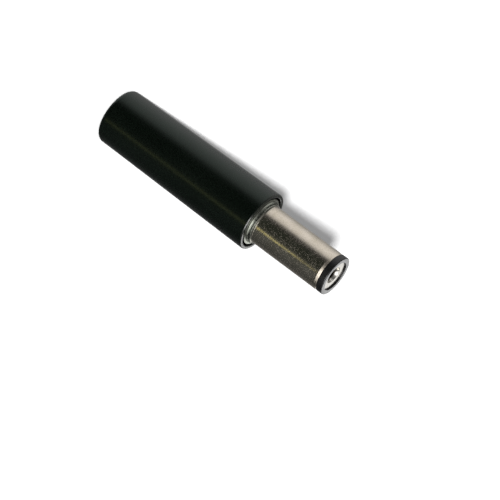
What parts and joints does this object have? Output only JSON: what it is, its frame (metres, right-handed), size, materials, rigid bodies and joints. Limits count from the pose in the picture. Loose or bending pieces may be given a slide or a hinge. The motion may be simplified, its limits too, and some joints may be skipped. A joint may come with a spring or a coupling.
{
  "type": "dc barrel plug",
  "caption": "Straight solder-type barrel plug for low-voltage power leads, with a screw-on tapered cover, a bare barrel and a cable clamp inside.",
  "frame": {"origin": "middle of the end face of the cover, where the cable comes in; the plug stands on that face", "axes": "+Z along the plug's axis towards the tip of the barrel; +X towards the outer solder tag and its cable clamp"},
  "size_m": [0.0082, 0.0082, 0.0369],
  "materials": {
    "cover_plastic": "moulded black, semi-gloss",
    "nickel_plate": "turned brass, satin nickel plate",
    "insulator_plastic": "moulded black",
    "contact_plate": "rolled brass, bright nickel plate",
    "washer_fibre": "pressed insulating board",
    "tinned_sheet": "stamped brass, tin plate"
  },
  "bodies": {
    "cover": {"cover": "cover_plastic"},
    "carrier": {"rear_washer": "washer_fibre"},
    "insert": {"barrel": "nickel_plate", "tip_insulator": "insulator_plastic", "inner_contact": "contact_plate", "outer_tag": "tinned_sheet", "inner_tag": "tinned_sheet"}
  },
  "joints": [
    {"name": "thread_rise", "type": "slide", "parent": "cover", "child": "carrier", "axis": [0, 0, 1], "range_m": [0, 0.0045]},
    {"name": "unscrew", "type": "hinge", "parent": "carrier", "child": "insert", "pos_m": [0, 0, 0], "axis": [0, 0, 1], "range_deg": [0, 2160]}
  ],
  "couplings": [
    {"joint": "unscrew", "follows": "thread_rise", "rad_per_m": 8377.5}
  ]
}
